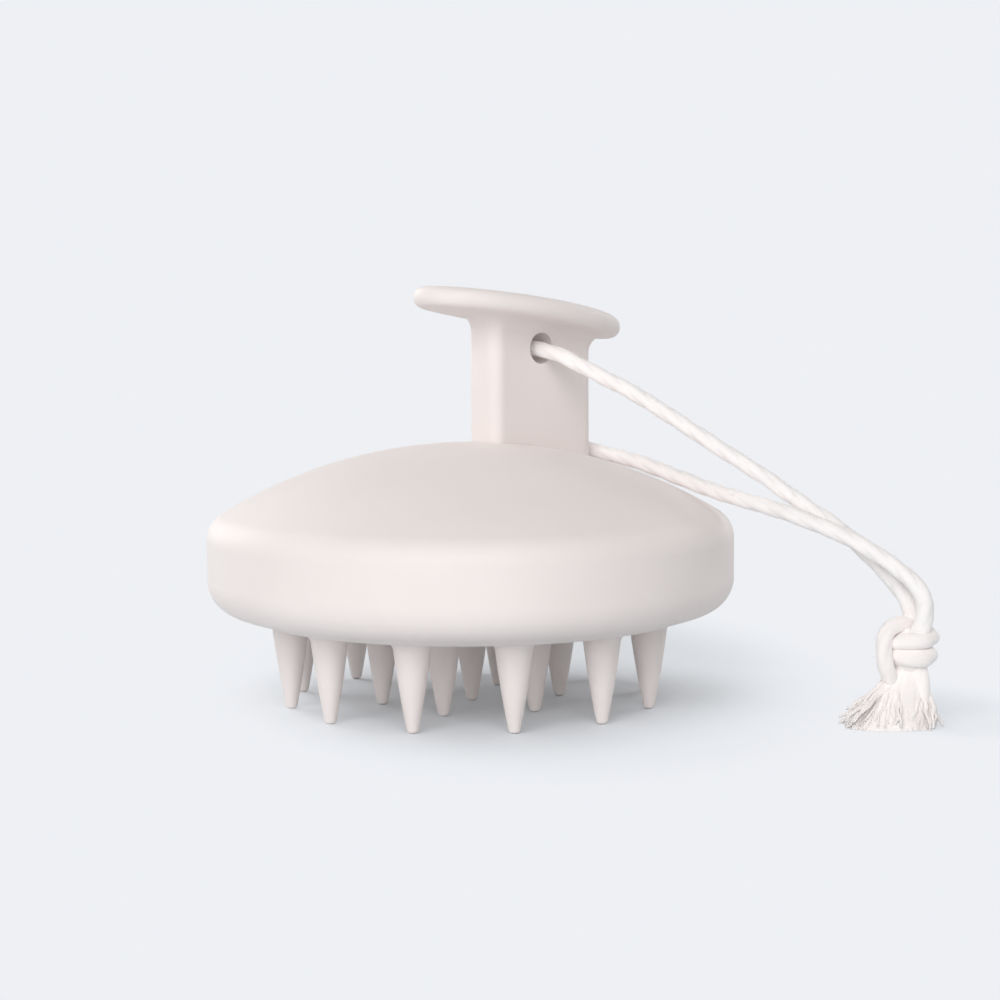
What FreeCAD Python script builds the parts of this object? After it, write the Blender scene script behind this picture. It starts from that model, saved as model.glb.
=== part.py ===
"""Scalp massager: a domed silicone body on bristles, a stem with an oval grip plate, and a knotted cord loop.

Millimetres. The origin is on the floor under the middle of the round body, +Z is up, and +X runs along the
stem's wide side, towards the lower end of the tilted grip plate.
"""

import FreeCAD
import Part
import Sketcher

import math
import os

from FreeCAD import Placement, Rotation, Vector

SIZES = [
    # round body
    ("disc_radius", "39.8"),
    ("pad_rim_width", "8.45"),
    ("underside_rise", "2.4"),
    ("side_height", "12"),
    ("dome_rise", "11.85"),
    ("lip_flat", "0.6"),
    ("lower_corner_radius", "5"),
    ("shoulder_radius", "4.3"),
    ("cavity_radius", "28.5"),
    ("crown_wall", "4.5"),
    ("boss_wall", "2"),
    # bristle pad
    ("pad_radius", "=disc_radius - pad_rim_width"),
    ("pad_thickness", "4.5"),
    ("pad_clearance", "0.2"),
    ("pad_edge_radius", "0.4"),
    # bristles
    ("bristle_length", "13.2"),
    ("bristle_root_radius", "2.85"),
    ("bristle_tip_radius", "0.85"),
    ("bristle_tip_rounding", "0.4"),
    ("socket_clearance", "0.2"),
    ("bristle_edge_wall", "0.8"),
    ("outer_ring_radius", "=pad_radius - bristle_root_radius - bristle_edge_wall"),
    ("inner_ring_radius", "=outer_ring_radius / 2"),
    # stem and its foot
    ("stem_width", "21.1"),
    ("stem_thickness", "6.6"),
    ("stem_offset", "12.8"),
    ("stem_corner_radius", "1.9"),
    ("slot_clearance", "0.1"),
    ("foot_overhang", "2"),
    ("foot_thickness", "3"),
    # grip plate
    ("plate_half_length", "19.3"),
    ("plate_half_width", "10.85"),
    ("plate_thickness", "3.05"),
    ("plate_edge_radius", "1.45"),
    ("plate_offset", "10.4"),
    ("plate_height", "59.2"),
    ("plate_tilt", "8.45"),
    ("plate_crown_radius", "450"),
    ("plate_fillet_radius", "2.6"),
    # hole for the cord
    ("hole_radius", "2.4"),
    ("hole_setback", "0.9"),
    ("hole_offset", "=stem_offset - hole_setback"),
    ("hole_drop", "5.7"),
    ("hole_height", "=plate_height - hole_drop"),
    # cord, knot and tassel
    ("cord_radius", "1.2"),
    ("knot_half_width", "4.4"),
    ("knot_half_depth", "4"),
    ("knot_half_height", "4.7"),
    ("knot_turn_radius", "3"),
    ("tassel_neck_spread", "2.7"),
    ("tassel_neck_depth", "2.4"),
    ("tassel_waist_spread", "5.1"),
    ("tassel_waist_depth", "3.4"),
    ("tassel_hem_spread", "7.4"),
    ("tassel_hem_depth", "4.2"),
    ("tassel_waist_height", "2.8"),
    ("tassel_height", "6.2"),
]

OUTER_BRISTLES = 12
INNER_BRISTLES = 6

# The cord's route from the middle of the stem's hole to the knot, one list for each leg.
HOLE_MIDDLE = Vector(11.9, 0, 53.5)
FRONT_LEG = [
    HOLE_MIDDLE,
    Vector(11.9, -4.8, 53.5),
    Vector(14.4, -10.9, 50.3),
    Vector(17.1, -18.8, 46.6),
    Vector(21.4, -30.8, 39.0),
    Vector(24.4, -37.2, 34.9),
    Vector(26.9, -42.6, 30.8),
    Vector(28.9, -48.0, 27.5),
    Vector(30.2, -52.6, 23.5),
    Vector(30.9, -57.0, 19.6),
    Vector(32.1, -58.9, 15.8),
    Vector(31.6, -58.7, 12.2),
]
BACK_LEG = [
    HOLE_MIDDLE,
    Vector(11.9, 6.0, 53.5),
    Vector(16.6, 6.5, 47.4),
    Vector(21.8, 7.1, 41.2),
    Vector(26.5, 2.4, 37.2),
    Vector(25.9, -5.9, 36.4),
    Vector(25.1, -13.7, 35.3),
    Vector(25.4, -21.7, 33.1),
    Vector(24.0, -30.2, 31.7),
    Vector(23.9, -38.9, 30.4),
    Vector(24.7, -46.0, 28.7),
    Vector(26.1, -52.0, 26.6),
    Vector(27.5, -56.8, 23.8),
    Vector(29.0, -60.3, 20.6),
    Vector(30.2, -61.9, 17.1),
    Vector(29.8, -60.9, 12.4),
]
KNOT_MIDDLE = Vector(30.1, -58.9, 10.0)
TASSEL_FOOT = Vector(26.9, -59.1, 0)
# The photographed side of the knot and tassel faces this way round, in degrees about +Z.
KNOT_FACING = -43.2
KNOT_TURN_LEAN = 25
# Each bend of the cord takes this share of the shorter of its two runs.
BEND_SHARE = 0.45
# The plate's strip is this much larger than its oval, and the cutter's frame larger again.
STRIP_MARGIN = 1.1
CUTTER_MARGIN = 1.5
# The most that a rounding takes of the wall it is on.
PLATE_EDGE_SHARE = 0.46
TIP_SHARE = 0.9
# Two lengths that agree this well are the same edge.
SAME_EDGE = 0.01

# Heights that several pieces share.
PAD_UNDERSIDE = "sizes.bristle_length"
PAD_TOP = PAD_UNDERSIDE + " + sizes.pad_thickness"
SIDE_BOTTOM = PAD_UNDERSIDE + " + sizes.underside_rise"
SIDE_TOP = SIDE_BOTTOM + " + sizes.side_height"
CROWN = SIDE_TOP + " + sizes.dome_rise"
DOME_RADIUS = "(sizes.disc_radius ^ 2 + sizes.dome_rise ^ 2) / (2 * sizes.dome_rise)"
DOME_CENTRE = f"{CROWN} - {DOME_RADIUS}"
RECESS_RADIUS = "sizes.pad_radius + sizes.pad_clearance"

doc = FreeCAD.newDocument("scalp_massager")
sheet = doc.addObject("Spreadsheet::Sheet", "sizes")
for row, (alias, number) in enumerate(SIZES, start=1):
    sheet.set(f"A{row}", alias)
    sheet.set(f"B{row}", number)
    sheet.setAlias(f"B{row}", alias)
doc.recompute()


def value(expression):
    """The number that an expression on the sheet gives."""
    return float(sheet.evalExpression(expression))


def new_body(label):
    """An empty PartDesign body with that label."""
    body = doc.addObject("PartDesign::Body", label)
    body.Label = label
    return body


def new_sketch(body, role, name, height="0"):
    """A sketch on one of the body's origin planes, lifted off it by a height."""
    sketch = body.newObject("Sketcher::SketchObject", name)
    plane = next(item for item in body.Origin.OriginFeatures if item.Role == role)
    sketch.AttachmentSupport = [(plane, "")]
    sketch.MapMode = "FlatFace"
    sketch.setExpression("AttachmentOffset.Base.z", height)
    return sketch


def dimension(sketch, kind, where, expression):
    """Adds one dimension to a sketch and ties it to the sheet."""
    index = sketch.addConstraint(Sketcher.Constraint(kind, *where, value(expression)))
    sketch.setExpression(f"Constraints[{index}]", expression)


def place_point(sketch, geometry, end, across, up):
    """Sets one end of a line or arc, or its centre, at a place measured from the sketch's origin."""
    for kind, axis, expression in (("DistanceX", -2, across), ("DistanceY", -1, up)):
        if expression == "0":
            sketch.addConstraint(Sketcher.Constraint("PointOnObject", geometry, end, axis))
        else:
            dimension(sketch, kind, (-1, 1, geometry, end), expression)


def draw_lines(sketch, corners, closed=True):
    """Draws straight lines from corner to corner, each corner dimensioned, and gives the lines' numbers."""
    points = [Vector(value(across), value(up), 0) for across, up in corners]
    last = len(points) if closed else len(points) - 1
    lines = []
    for index in range(last):
        line = Part.LineSegment(points[index], points[(index + 1) % len(points)])
        lines.append(sketch.addGeometry(line))
    for line, (across, up) in zip(lines, corners):
        place_point(sketch, line, 1, across, up)
    for line, following in zip(lines, lines[1:]):
        sketch.addConstraint(Sketcher.Constraint("Coincident", line, 2, following, 1))
    if closed:
        sketch.addConstraint(Sketcher.Constraint("Coincident", lines[-1], 2, lines[0], 1))
    else:
        place_point(sketch, lines[-1], 2, *corners[-1])
    return lines


def draw_rectangle(sketch, middle, half_width, half_depth):
    """Draws a rectangle about a middle on the sketch's horizontal axis."""
    left = f"{middle} - ({half_width})"
    right = f"{middle} + ({half_width})"
    top = f"{half_depth}"
    bottom = f"-({half_depth})"
    draw_lines(sketch, [(left, bottom), (right, bottom), (right, top), (left, top)])


def add_arc(sketch, centre, radius, start, end):
    """Adds a loose arc, anticlockwise from start to end in radians, for constraints to hold."""
    circle = Part.Circle(centre, Vector(0, 0, 1), radius)
    return sketch.addGeometry(Part.ArcOfCircle(circle, start, end))


def close_with_dome(sketch, lines, radius, join):
    """Closes an outline with an arc about the dome's centre, from the last line to the first on the axis."""
    middle = value(DOME_CENTRE)
    start = math.atan2(value(join[1]) - middle, value(join[0]))
    arc = add_arc(sketch, Vector(0, middle, 0), value(radius), start, math.pi / 2)
    place_point(sketch, arc, 3, "0", DOME_CENTRE)
    sketch.addConstraint(Sketcher.Constraint("Coincident", lines[-1], 2, arc, 1))
    axis_bottom = sketch.getPoint(lines[0], 1)
    axis = sketch.addGeometry(Part.LineSegment(Vector(0, middle + value(radius), 0), axis_bottom))
    sketch.addConstraint(Sketcher.Constraint("Coincident", arc, 2, axis, 1))
    sketch.addConstraint(Sketcher.Constraint("Coincident", axis, 2, lines[0], 1))
    sketch.addConstraint(Sketcher.Constraint("PointOnObject", axis, 1, -2))


def turn(body, kind, name, sketch):
    """Turns a sketch about its own vertical axis, as a Revolution or a Groove."""
    feature = body.newObject(f"PartDesign::{kind}", name)
    feature.Profile = sketch
    feature.ReferenceAxis = (sketch, ["V_Axis"])
    feature.Angle = 360
    doc.recompute()
    return feature


def pad(body, name, sketch, length, symmetric=False):
    """Pads a sketch by a length, to one side or evenly to both."""
    feature = body.newObject("PartDesign::Pad", name)
    feature.Profile = sketch
    feature.setExpression("Length", length)
    if symmetric:
        feature.SideType = "Symmetric"
    doc.recompute()
    return feature


def pocket_up(body, name, sketch, length=None):
    """Cuts a sketch upwards by a length, or through everything above it."""
    feature = body.newObject("PartDesign::Pocket", name)
    feature.Profile = sketch
    feature.Reversed = True
    if length is None:
        feature.Type = "ThroughAll"
    else:
        feature.setExpression("Length", length)
    doc.recompute()
    return feature


def fillet(body, name, base, radius, wanted):
    """Rounds the edges of a feature whose bounding box passes the test."""
    edges = []
    for number, edge in enumerate(base.Shape.Edges, start=1):
        if wanted(edge.BoundBox):
            edges.append(f"Edge{number}")
    feature = body.newObject("PartDesign::Fillet", name)
    feature.Base = (base, edges)
    feature.setExpression("Radius", radius)
    doc.recompute()
    return feature


def near(first, second):
    """Whether two lengths are the same, to within a small tolerance."""
    return abs(first - second) < SAME_EDGE


def ring_at(radius, height):
    """A test for the round edge of that radius and height about the body's axis."""
    def wanted(box):
        level = near(box.ZMin, value(height)) and near(box.ZMax, value(height))
        return level and near(box.XMax, value(radius))
    return wanted


def upright(box):
    """A test for a straight upright edge."""
    return near(box.XLength, 0) and near(box.YLength, 0) and not near(box.ZLength, 0)


def make_dome_body():
    """The domed body: turned outside, a recess for the pad, a cavity, and a boss that holds the stem."""
    body = new_body("dome_body")
    lip = f"{RECESS_RADIUS} + sizes.lip_flat"
    outside = new_sketch(body, "XZ_Plane", "dome_outside")
    rim = ("sizes.disc_radius", SIDE_TOP)
    corners = [("0", PAD_UNDERSIDE), (lip, PAD_UNDERSIDE), ("sizes.disc_radius", SIDE_BOTTOM), rim]
    close_with_dome(outside, draw_lines(outside, corners, closed=False), DOME_RADIUS, rim)
    solid = turn(body, "Revolution", "dome_turned", outside)
    solid = fillet(body, "dome_lower_corner", solid, "sizes.lower_corner_radius",
                   ring_at("sizes.disc_radius", SIDE_BOTTOM))
    solid = fillet(body, "dome_shoulder", solid, "sizes.shoulder_radius",
                   ring_at("sizes.disc_radius", SIDE_TOP))

    inside = new_sketch(body, "XZ_Plane", "dome_inside")
    inner_radius = f"{DOME_RADIUS} - sizes.crown_wall"
    spring = f"{DOME_CENTRE} + sqrt(({inner_radius}) ^ 2 - sizes.cavity_radius ^ 2)"
    brow = ("sizes.cavity_radius", spring)
    corners = [
        ("0", PAD_UNDERSIDE),
        (RECESS_RADIUS, PAD_UNDERSIDE),
        (RECESS_RADIUS, PAD_TOP),
        ("sizes.cavity_radius", PAD_TOP),
        brow,
    ]
    close_with_dome(inside, draw_lines(inside, corners, closed=False), inner_radius, brow)
    turn(body, "Groove", "dome_hollow", inside)

    boss = new_sketch(body, "XY_Plane", "boss_outline", PAD_TOP)
    around_foot = "sizes.foot_overhang + sizes.boss_wall"
    draw_rectangle(boss, "sizes.stem_offset", f"sizes.stem_width / 2 + {around_foot}",
                   f"sizes.stem_thickness / 2 + {around_foot}")
    tower = body.newObject("PartDesign::Pad", "boss")
    tower.Profile = boss
    tower.Type = "UpToFirst"
    doc.recompute()

    slot = new_sketch(body, "XY_Plane", "slot_outline", PAD_TOP)
    draw_rectangle(slot, "sizes.stem_offset", "sizes.stem_width / 2 + sizes.slot_clearance",
                   "sizes.stem_thickness / 2 + sizes.slot_clearance")
    cut = pocket_up(body, "slot", slot)
    slot_end = value("sizes.stem_width / 2 + sizes.slot_clearance")
    slot_side = value("sizes.stem_thickness / 2 + sizes.slot_clearance")

    def slot_corner(box):
        at_end = near(abs(box.XMin - value("sizes.stem_offset")), slot_end)
        return upright(box) and at_end and near(abs(box.YMin), slot_side)

    fillet(body, "slot_corners", cut, "sizes.stem_corner_radius + sizes.slot_clearance", slot_corner)
    foot = new_sketch(body, "XY_Plane", "foot_seat", PAD_TOP)
    draw_rectangle(foot, "sizes.stem_offset",
                   "sizes.stem_width / 2 + sizes.foot_overhang + sizes.slot_clearance",
                   "sizes.stem_thickness / 2 + sizes.foot_overhang + sizes.slot_clearance")
    pocket_up(body, "foot_pocket", foot, "sizes.foot_thickness")
    return body


def make_handle():
    """The handle: an oval, slightly crowned grip plate on a flat stem with a cord hole and a hidden foot."""
    body = new_body("handle")
    side = new_sketch(body, "XZ_Plane", "plate_side")
    tilt = "sizes.plate_tilt * 1deg"
    centre = (f"sizes.plate_offset - sizes.plate_crown_radius * sin({tilt})",
              f"sizes.plate_height - sizes.plate_crown_radius * cos({tilt})")
    reach = f"{STRIP_MARGIN} * sizes.plate_half_length"
    ends = [f"sizes.plate_offset + {reach}", f"sizes.plate_offset - {reach}"]
    radii = ["sizes.plate_crown_radius + sizes.plate_thickness / 2",
             "sizes.plate_crown_radius - sizes.plate_thickness / 2"]
    middle = Vector(value(centre[0]), value(centre[1]), 0)
    arcs = []
    for radius in radii:
        angles = [math.acos((value(end) - middle.x) / value(radius)) for end in ends]
        arc = add_arc(side, middle, value(radius), *angles)
        place_point(side, arc, 3, *centre)
        dimension(side, "Radius", (arc,), radius)
        for point, end in enumerate(ends, start=1):
            dimension(side, "DistanceX", (-1, 1, arc, point), end)
        arcs.append(arc)
    for point in (1, 2):
        edge = Part.LineSegment(side.getPoint(arcs[0], point), side.getPoint(arcs[1], point))
        line = side.addGeometry(edge)
        side.addConstraint(Sketcher.Constraint("Coincident", line, 1, arcs[0], point))
        side.addConstraint(Sketcher.Constraint("Coincident", line, 2, arcs[1], point))
    pad(body, "plate_strip", side, f"{2 * STRIP_MARGIN} * sizes.plate_half_width", symmetric=True)

    trim = new_sketch(body, "XY_Plane", "plate_oval")
    draw_rectangle(trim, "sizes.plate_offset", f"{CUTTER_MARGIN} * sizes.plate_half_length",
                   f"{CUTTER_MARGIN} * sizes.plate_half_width")
    oval = trim.addGeometry(Part.Ellipse(Vector(value("sizes.plate_offset"), 0, 0),
                                         value("sizes.plate_half_length"), value("sizes.plate_half_width")))
    trim.exposeInternalGeometry(oval)
    long_axis = oval + 1
    short_axis = oval + 2
    trim.addConstraint(Sketcher.Constraint("Horizontal", long_axis))
    dimension(trim, "Distance", (long_axis, 1, long_axis, 2), "2 * sizes.plate_half_length")
    dimension(trim, "Distance", (short_axis, 1, short_axis, 2), "2 * sizes.plate_half_width")
    place_point(trim, oval, 3, "sizes.plate_offset", "0")
    plate = pocket_up(body, "plate_trim", trim)
    edge_radius = f"min(sizes.plate_edge_radius; {PLATE_EDGE_SHARE} * sizes.plate_thickness)"
    fillet(body, "plate_edges", plate, edge_radius, lambda box: not near(box.XLength, 0))

    stem = new_sketch(body, "XZ_Plane", "stem_side")
    left = "sizes.stem_offset - sizes.stem_width / 2"
    right = "sizes.stem_offset + sizes.stem_width / 2"
    tops = [f"sizes.plate_height - ({end} - sizes.plate_offset) * tan({tilt})" for end in (left, right)]
    draw_lines(stem, [(left, PAD_TOP), (right, PAD_TOP), (right, tops[1]), (left, tops[0])])
    solid = pad(body, "stem", stem, "sizes.stem_thickness", symmetric=True)
    solid = fillet(body, "stem_corners", solid, "sizes.stem_corner_radius", upright)
    half_width = value("sizes.stem_width / 2") + SAME_EDGE
    half_depth = value("sizes.stem_thickness / 2") + SAME_EDGE

    def under_plate(box):
        along = max(abs(box.XMin - value("sizes.stem_offset")), abs(box.XMax - value("sizes.stem_offset")))
        across = max(abs(box.YMin), abs(box.YMax))
        return along < half_width and across < half_depth and box.ZMin > value("sizes.hole_height")

    fillet(body, "plate_fillet", solid, "sizes.plate_fillet_radius", under_plate)

    foot = new_sketch(body, "XY_Plane", "foot_outline", PAD_TOP)
    draw_rectangle(foot, "sizes.stem_offset", "sizes.stem_width / 2 + sizes.foot_overhang",
                   "sizes.stem_thickness / 2 + sizes.foot_overhang")
    pad(body, "foot", foot, "sizes.foot_thickness")

    bore = new_sketch(body, "XZ_Plane", "cord_hole_outline")
    ring = bore.addGeometry(Part.Circle(Vector(value("sizes.hole_offset"), value("sizes.hole_height"), 0),
                                        Vector(0, 0, 1), value("sizes.hole_radius")))
    place_point(bore, ring, 3, "sizes.hole_offset", "sizes.hole_height")
    dimension(bore, "Radius", (ring,), "sizes.hole_radius")
    hole = body.newObject("PartDesign::Pocket", "cord_hole")
    hole.Profile = bore
    hole.Type = "ThroughAll"
    hole.SideType = "Symmetric"
    doc.recompute()
    return body


def bristle_places():
    """The label of each bristle, with its place across the pad as expressions."""
    places = [("bristle_centre", "0", "0")]
    rings = [
        ("bristle_inner", INNER_BRISTLES, "sizes.inner_ring_radius", 0.5),
        ("bristle_outer", OUTER_BRISTLES, "sizes.outer_ring_radius", 0),
    ]
    for name, count, radius, first in rings:
        for index in range(count):
            angle = 360 / count * (index + first)
            label = f"{name}_{index + 1:02d}"
            places.append((label, f"{radius} * cos({angle}deg)", f"{radius} * sin({angle}deg)"))
    return places


def make_bristle_pad():
    """The round pad that closes the body from below, with a half-round socket for each bristle's root."""
    body = new_body("bristle_pad")
    outline = new_sketch(body, "XY_Plane", "pad_outline", PAD_UNDERSIDE)
    ring = outline.addGeometry(Part.Circle(Vector(0, 0, 0), Vector(0, 0, 1), value("sizes.pad_radius")))
    outline.addConstraint(Sketcher.Constraint("Coincident", ring, 3, -1, 1))
    dimension(outline, "Radius", (ring,), "sizes.pad_radius")
    disc = pad(body, "pad_disc", outline, "sizes.pad_thickness")
    fillet(body, "pad_edge", disc, "sizes.pad_edge_radius", ring_at("sizes.pad_radius", PAD_UNDERSIDE))
    for label, across, along in bristle_places():
        socket = body.newObject("PartDesign::SubtractiveSphere", f"socket_{label}")
        socket.setExpression("Radius", "sizes.bristle_root_radius + sizes.socket_clearance")
        socket.setExpression("Placement.Base.x", across)
        socket.setExpression("Placement.Base.y", along)
        socket.setExpression("Placement.Base.z", PAD_UNDERSIDE)
    doc.recompute()
    return body


def make_bristle(label, across, along):
    """One bristle: a blunt cone on the floor with a ball root that sits in its socket of the pad."""
    body = new_body(label)
    cone = body.newObject("PartDesign::AdditiveCone", f"{label}_cone")
    cone.setExpression("Radius1", "sizes.bristle_tip_radius")
    cone.setExpression("Radius2", "sizes.bristle_root_radius")
    cone.setExpression("Height", "sizes.bristle_length")
    root = body.newObject("PartDesign::AdditiveSphere", f"{label}_root")
    root.setExpression("Radius", "sizes.bristle_root_radius")
    root.setExpression("Placement.Base.z", "sizes.bristle_length")
    doc.recompute()
    rounding = f"min(sizes.bristle_tip_rounding; {TIP_SHARE} * sizes.bristle_tip_radius)"
    fillet(body, f"{label}_tip", root, rounding, ring_at("sizes.bristle_tip_radius", "0"))
    body.setExpression("Placement.Base.x", across)
    body.setExpression("Placement.Base.y", along)
    doc.recompute()
    return body


def rounded_path(points):
    """Straight runs with the largest tangent arcs that fit between them, and the arcs' radii."""
    edges = []
    radii = []
    start = points[0]
    for before, corner, after in zip(points, points[1:], points[2:]):
        coming = corner - before
        going = after - corner
        reach = BEND_SHARE * min(coming.Length, going.Length)
        bend = coming.getAngle(going)
        radius = reach / math.tan(bend / 2)
        coming.normalize()
        going.normalize()
        inward = going - coming
        inward.normalize()
        begin = corner - coming * reach
        finish = corner + going * reach
        middle = corner + inward * (radius / math.cos(bend / 2) - radius)
        edges.append(Part.LineSegment(start, begin).toShape())
        edges.append(Part.Arc(begin, middle, finish).toShape())
        radii.append(radius)
        start = finish
    edges.append(Part.LineSegment(start, points[-1]).toShape())
    return Part.Wire(edges), radii


def make_cord_leg(label, points):
    """A round cord along its route from the middle of the hole to the knot."""
    path, radii = rounded_path(points)
    radius = value("sizes.cord_radius")
    section = Part.Wire([Part.Circle(points[0], points[1] - points[0], radius).toShape()])
    shape = path.makePipeShell([section], True, False)
    expected = math.pi * radius ** 2 * path.Length
    print(label, "length", round(path.Length, 1), "radii", [round(r, 1) for r in radii],
          "volume share", round(shape.Volume / expected, 4))
    leg = doc.addObject("Part::Feature", label)
    leg.Label = label
    leg.Shape = shape
    return leg


def make_knot():
    """The knot: a rounded lump with one turn of cord round it."""
    facing = Rotation(Vector(0, 0, 1), KNOT_FACING)
    lump = doc.addObject("Part::Ellipsoid", "knot_lump")
    lump.setExpression("Radius1", "sizes.knot_half_height")
    lump.setExpression("Radius2", "sizes.knot_half_width")
    lump.setExpression("Radius3", "sizes.knot_half_depth")
    lump.Placement = Placement(KNOT_MIDDLE, facing)
    wrap = doc.addObject("Part::Torus", "knot_turn")
    wrap.setExpression("Radius1", "sizes.knot_turn_radius")
    wrap.setExpression("Radius2", "sizes.cord_radius")
    wrap.Placement = Placement(KNOT_MIDDLE, facing * Rotation(Vector(0, 1, 0), KNOT_TURN_LEAN))
    knot = doc.addObject("Part::Fuse", "cord_knot")
    knot.Label = "cord_knot"
    knot.Base = lump
    knot.Tool = wrap
    doc.recompute()
    return knot


def make_tassel():
    """The frayed ends: a skirt that widens from the knot to the floor."""
    facing = Rotation(Vector(0, 0, 1), KNOT_FACING)
    heights = {"neck": "sizes.tassel_height", "waist": "sizes.tassel_waist_height", "hem": "0"}
    lean = Vector(KNOT_MIDDLE.x, KNOT_MIDDLE.y, 0) - TASSEL_FOOT
    sections = []
    for name, height in heights.items():
        ring = doc.addObject("Part::Ellipse", f"tassel_{name}")
        ring.setExpression("MajorRadius", f"sizes.tassel_{name}_spread")
        ring.setExpression("MinorRadius", f"sizes.tassel_{name}_depth")
        share = value(height) / value("sizes.tassel_height")
        ring.Placement = Placement(TASSEL_FOOT + lean * share, facing)
        ring.setExpression("Placement.Base.z", height)
        sections.append(ring)
    tassel = doc.addObject("Part::Loft", "cord_tassel")
    tassel.Label = "cord_tassel"
    tassel.Sections = sections
    tassel.Solid = True
    doc.recompute()
    return tassel


def main():
    """Builds every piece, checks it and writes one file for each."""
    pieces = [make_dome_body(), make_handle(), make_bristle_pad()]
    for label, across, along in bristle_places():
        pieces.append(make_bristle(label, across, along))
    pieces.append(make_cord_leg("cord_front_leg", FRONT_LEG))
    pieces.append(make_cord_leg("cord_back_leg", BACK_LEG))
    pieces.append(make_knot())
    pieces.append(make_tassel())
    doc.recompute()
    for item in doc.Objects:
        if "Invalid" in item.State or "Error" in item.State:
            raise RuntimeError(f"{item.Label} did not build: {item.State}")
    for piece in pieces:
        shape = piece.Shape
        if shape.isNull() or not shape.isValid() or len(shape.Solids) != 1:
            raise RuntimeError(f"{piece.Label} is not one valid solid")
    os.makedirs("parts", exist_ok=True)
    for piece in pieces:
        piece.Shape.exportStep(f"parts/{piece.Label}.step")
        box = piece.Shape.BoundBox
        print(piece.Label, round(piece.Shape.Volume), "mm3", "z", round(box.ZMin, 2), round(box.ZMax, 2))


main()
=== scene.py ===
"""Scalp massager: silicone dome on bristles, a stem with an oval grip plate, and a knotted cotton cord.

Metres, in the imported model's frame: the origin is on the floor under the middle of the dome, +Z is up, and
+X runs along the stem's wide side. Sizes that are given in millimetres are turned into metres by MM.
"""
import math

import bpy
import numpy as np
from mathutils import Matrix


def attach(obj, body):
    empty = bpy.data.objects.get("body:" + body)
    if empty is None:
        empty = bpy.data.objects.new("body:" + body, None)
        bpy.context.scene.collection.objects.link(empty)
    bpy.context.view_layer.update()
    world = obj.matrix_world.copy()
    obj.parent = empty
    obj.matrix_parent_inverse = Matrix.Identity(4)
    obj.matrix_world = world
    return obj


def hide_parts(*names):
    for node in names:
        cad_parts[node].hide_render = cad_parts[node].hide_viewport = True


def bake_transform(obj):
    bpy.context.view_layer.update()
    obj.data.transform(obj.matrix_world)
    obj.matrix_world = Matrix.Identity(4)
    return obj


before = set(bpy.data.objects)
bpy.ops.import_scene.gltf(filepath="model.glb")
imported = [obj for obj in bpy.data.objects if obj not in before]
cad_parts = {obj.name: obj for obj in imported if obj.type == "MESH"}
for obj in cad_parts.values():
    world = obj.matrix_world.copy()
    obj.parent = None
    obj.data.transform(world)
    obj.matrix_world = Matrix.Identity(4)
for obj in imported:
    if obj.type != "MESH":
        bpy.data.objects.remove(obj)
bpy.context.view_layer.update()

MM = 0.001
FULL_TURN = 2 * math.pi
SEED = 7032

# Camera, as fitted to the bristle rings and the dome of the photograph: degrees and millimetres.
CAMERA_YAW = 43.2
CAMERA_PITCH = 5.02
CAMERA_ROLL = 0.33
CAMERA_DISTANCE = 335.0
CAMERA_HEIGHT = 60.09
CAMERA_ASIDE = 4.47
LENS = 79.77
SENSOR = 36.0
# The nearest and farthest that the camera sees, in metres.
CAMERA_NEAR = 0.01
CAMERA_FAR = 20.0

# Cord, in millimetres: strands laid round one another, looser over the last stretch of each leg.
CORD_RADIUS = 1.2
STRAND_RADIUS = 0.94
STRANDS = 3
STRAND_SIDES = 14
STRAND_STEP = 0.35
LAY_LENGTH = 16.0
LEG_SWELL = 0.22
SWELL_LENGTH = 15.0
BACK_LEG_PHASE = 1.1
# Slow swells of a loosely spun strand: how long they are, and the share of its radius that they add.
SOFT_WAVES = (2.1, 3.7, 6.3, 11.0)
SOFT_SHARE = 0.05
# The turn of frames along a line is counted from this direction.
FIXED_DIRECTION = (0.83, 0.31, 0.46)

# The cord's route, repeated from the part's source, and the length of each leg. The back leg is moved a
# little above the knot, to lie as in the photograph.
HOLE_MIDDLE = (11.9, 0.0, 53.5)
FRONT_LEG = [
    HOLE_MIDDLE, (11.9, -4.8, 53.5), (14.4, -10.9, 50.3), (17.1, -18.8, 46.6), (21.4, -30.8, 39.0),
    (24.4, -37.2, 34.9), (26.9, -42.6, 30.8), (28.9, -48.0, 27.5), (30.2, -52.6, 23.5),
    (30.9, -57.0, 19.6), (32.1, -58.9, 15.8), (31.6, -58.7, 12.2),
]
BACK_LEG = [
    HOLE_MIDDLE, (11.9, 6.0, 53.5), (16.6, 6.5, 47.4), (21.8, 7.1, 41.2), (26.5, 2.4, 37.2),
    (25.9, -5.9, 36.4), (25.1, -13.7, 35.3), (25.4, -21.7, 33.1), (24.0, -30.2, 31.7),
    (23.9, -38.9, 30.4), (24.7, -46.0, 28.7), (26.1, -52.0, 26.6), (27.7, -57.0, 23.8),
    (29.5, -60.8, 20.7), (30.7, -62.4, 17.1), (29.8, -60.9, 12.4),
]
ROUTE_ORDER = 3
ROUTE_RESOLUTION = 32

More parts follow.
